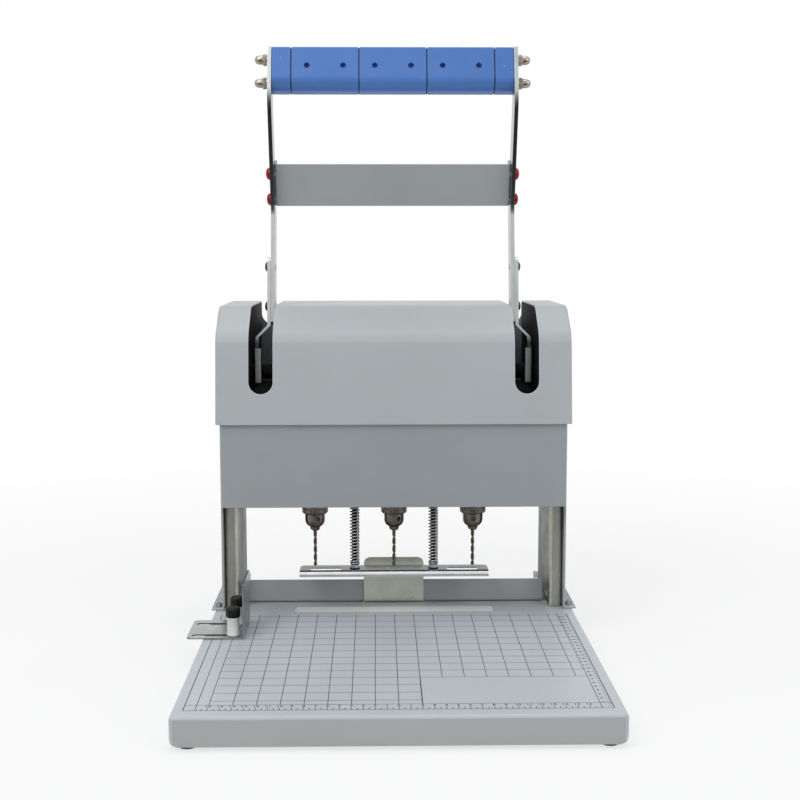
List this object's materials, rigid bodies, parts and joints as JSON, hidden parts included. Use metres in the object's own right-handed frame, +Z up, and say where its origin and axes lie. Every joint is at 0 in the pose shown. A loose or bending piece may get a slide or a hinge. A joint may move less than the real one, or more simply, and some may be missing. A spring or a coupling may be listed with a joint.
{
  "type": "electric binding machine",
  "caption": "Desktop electric paper drill with a tall blue-gripped lever, a grey housing on two columns, sprung press bar, paper guides and a gridded base plate.",
  "frame": {"origin": "middle of the bounding box's bottom face, on the table under the machine", "axes": "+Z up, +Y from the operator's side to the back of the machine, +X to the operator's right"},
  "size_m": [0.3982, 0.49, 0.619],
  "materials": {
    "machine_paint": "satin grey stove enamel",
    "zinc_plated_steel": "zinc plated sheet and flat bar, slightly mottled",
    "polished_steel": "polished",
    "bright_steel": "bright drawn",
    "chuck_steel": "dark turned steel",
    "blue_grip_plastic": "moulded, slightly glossy",
    "black_plastic": "moulded",
    "black_liner": "black, satin",
    "white_nylon": "turned or sawn nylon",
    "black_rubber": "matt",
    "machined_aluminium": "machined",
    "bearing_bronze": "turned"
  },
  "bodies": {
    "frame": {"base_plate": "machine_paint", "foot_front_left": "black_rubber", "foot_rear_left": "black_rubber", "foot_front_right": "black_rubber", "foot_rear_right": "black_rubber", "drill_pad": "white_nylon", "rear_fence": "machine_paint", "left_column": "zinc_plated_steel", "right_column": "zinc_plated_steel", "left_side_plate": "machine_paint", "right_side_plate": "machine_paint", "front_panel": "machine_paint", "back_panel": "machine_paint", "upper_cover": "machine_paint", "left_slot_liner": "black_liner", "right_slot_liner": "black_liner", "left_bearing": "bearing_bronze", "right_bearing": "bearing_bronze", "lower_cross_bar": "bright_steel", "upper_cross_bar": "bright_steel", "return_spring_left": "bright_steel", "return_spring_right": "bright_steel", "cable_gland": "black_plastic", "guide_post_front": "white_nylon", "guide_post_rear": "white_nylon", "switch_bezel": "black_plastic"},
    "lever": {"left_arm": "zinc_plated_steel", "right_arm": "zinc_plated_steel", "left_strap": "zinc_plated_steel", "right_strap": "zinc_plated_steel", "cross_plate": "machine_paint", "grip_end_left": "blue_grip_plastic", "grip_end_right": "blue_grip_plastic", "grip_left": "blue_grip_plastic", "grip_centre": "blue_grip_plastic", "grip_right": "blue_grip_plastic", "upper_tie_rod": "bright_steel", "lower_tie_rod": "bright_steel", "lever_shaft": "bright_steel"},
    "carriage": {"carriage_frame": "machined_aluminium", "motor_left": "bright_steel", "motor_centre": "bright_steel", "motor_right": "bright_steel", "press_spring_left": "bright_steel", "press_spring_right": "bright_steel"},
    "press_bar_set": {"press_bar": "polished_steel", "press_rod_left": "bright_steel", "press_rod_right": "bright_steel"},
    "spindle_left": {"chuck_left": "chuck_steel", "drill_bit_left": "bright_steel"},
    "spindle_centre": {"chuck_centre": "chuck_steel", "drill_bit_centre": "bright_steel"},
    "spindle_right": {"chuck_right": "chuck_steel", "drill_bit_right": "bright_steel"},
    "side_guide_angle": {"side_guide": "polished_steel"},
    "knob_front": {"guide_knob_front": "black_plastic"},
    "knob_rear": {"guide_knob_rear": "black_plastic"},
    "stop_tab": {"depth_stop": "polished_steel"},
    "rocker": {"switch_rocker": "black_plastic"}
  },
  "joints": [
    {"name": "lever_hinge", "type": "hinge", "parent": "frame", "child": "lever", "pos_m": [0.0061, 0.121, 0.28], "axis": [1, 0, 0], "range_deg": [0, 80]},
    {"name": "carriage_slide", "type": "slide", "parent": "frame", "child": "carriage", "axis": [0, 0, -1], "range_m": [0, 0.0471], "stiffness_N_per_m": 3000, "springref_m": -0.02, "deforming": ["return_spring_left", "return_spring_right"]},
    {"name": "press_bar_slide", "type": "slide", "parent": "carriage", "child": "press_bar_set", "axis": [0, 0, 1], "range_m": [0, 0.00985], "deforming": ["press_spring_left", "press_spring_right"]},
    {"name": "spindle_left_spin", "type": "hinge", "parent": "carriage", "child": "spindle_left", "pos_m": [-0.0769, 0.08, 0.115], "axis": [0, 0, -1], "continuous": true},
    {"name": "spindle_centre_spin", "type": "hinge", "parent": "carriage", "child": "spindle_centre", "pos_m": [0.0061, 0.08, 0.115], "axis": [0, 0, -1], "continuous": true},
    {"name": "spindle_right_spin", "type": "hinge", "parent": "carriage", "child": "spindle_right", "pos_m": [0.0891, 0.08, 0.115], "axis": [0, 0, -1], "continuous": true},
    {"name": "side_guide_slide", "type": "slide", "parent": "frame", "child": "side_guide_angle", "axis": [1, 0, 0], "range_m": [0, 0.038]},
    {"name": "guide_knob_front_turn", "type": "hinge", "parent": "frame", "child": "knob_front", "pos_m": [-0.1539, -0.019, 0.0554], "axis": [0, 0, 1], "continuous": true},
    {"name": "guide_knob_rear_turn", "type": "hinge", "parent": "frame", "child": "knob_rear", "pos_m": [-0.1539, 0.021, 0.0554], "axis": [0, 0, 1], "continuous": true},
    {"name": "depth_stop_slide", "type": "slide", "parent": "frame", "child": "stop_tab", "axis": [0, -1, 0], "range_m": [0, 0.008]},
    {"name": "switch_rocker_tilt", "type": "hinge", "parent": "frame", "child": "rocker", "pos_m": [0.1161, 0.23475, 0.188], "axis": [1, 0, 0], "range_deg": [0, 18]}
  ],
  "couplings": [
    {"joint": "carriage_slide", "follows": "lever_hinge", "m_per_rad": 0.033661},
    {"joint": "press_bar_slide", "follows": "lever_hinge", "m_per_rad": 0.0070187}
  ]
}
